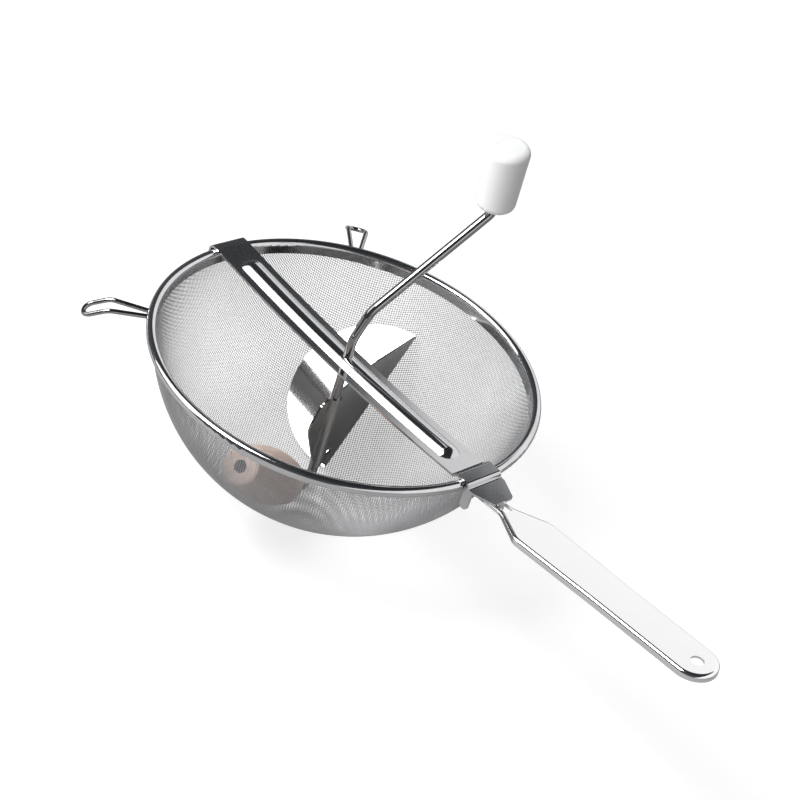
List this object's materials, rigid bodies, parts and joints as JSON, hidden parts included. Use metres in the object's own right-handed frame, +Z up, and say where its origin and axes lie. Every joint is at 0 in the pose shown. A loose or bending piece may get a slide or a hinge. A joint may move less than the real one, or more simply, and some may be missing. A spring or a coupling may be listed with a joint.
{
  "type": "tomato strainer with crank",
  "caption": "Hand cranked strainer: a woven wire bowl in a round rim with a long handle, and a crossbar whose crank turns a scraper blade and a wooden roller inside the bowl.",
  "frame": {"origin": "centre of the rim, on the crank axis, level with the middle of the rim bead", "axes": "+Z up along the crank shaft, +X out along the handle, +Y completes the right-handed frame"},
  "size_m": [0.3584, 0.2052, 0.2101],
  "materials": {
    "cloth": "woven",
    "polished_steel": "polished",
    "hidden_steel": "plain",
    "white_plastic": "semi-gloss",
    "beech": "turned, oiled"
  },
  "bodies": {
    "strainer": {"mesh_bowl": "cloth", "rim_hoop": "polished_steel", "rim_wire": "hidden_steel", "rest_loop_left": "polished_steel", "rest_loop_right": "polished_steel", "handle": "polished_steel"},
    "bar": {"crossbar": "polished_steel"},
    "crank": {"crank_rod": "polished_steel", "scraper_blade": "polished_steel", "roller_retainer": "hidden_steel", "knob_retainer": "hidden_steel"},
    "grip": {"knob": "white_plastic", "knob_cap": "white_plastic"},
    "barrel": {"roller": "beech"}
  },
  "joints": [
    {"name": "bar_lift", "type": "hinge", "parent": "strainer", "child": "bar", "pos_m": [-0.1, 0, 0], "axis": [0, -1, 0], "range_deg": [0, 25]},
    {"name": "crank_turn", "type": "hinge", "parent": "bar", "child": "crank", "pos_m": [0, 0, 0], "axis": [0, 0, 1], "continuous": true},
    {"name": "knob_spin", "type": "hinge", "parent": "crank", "child": "grip", "pos_m": [0.01084, 0.06145, 0.0868], "axis": [-0.0212, -0.12, 0.9925], "continuous": true},
    {"name": "roller_spin", "type": "hinge", "parent": "crank", "child": "barrel", "pos_m": [0.01322, -0.05302, -0.04785], "axis": [0.1938, -0.7774, 0.5984], "continuous": true}
  ],
  "couplings": [
    {"joint": "roller_spin", "follows": "crank_turn", "ratio": -4.08}
  ]
}
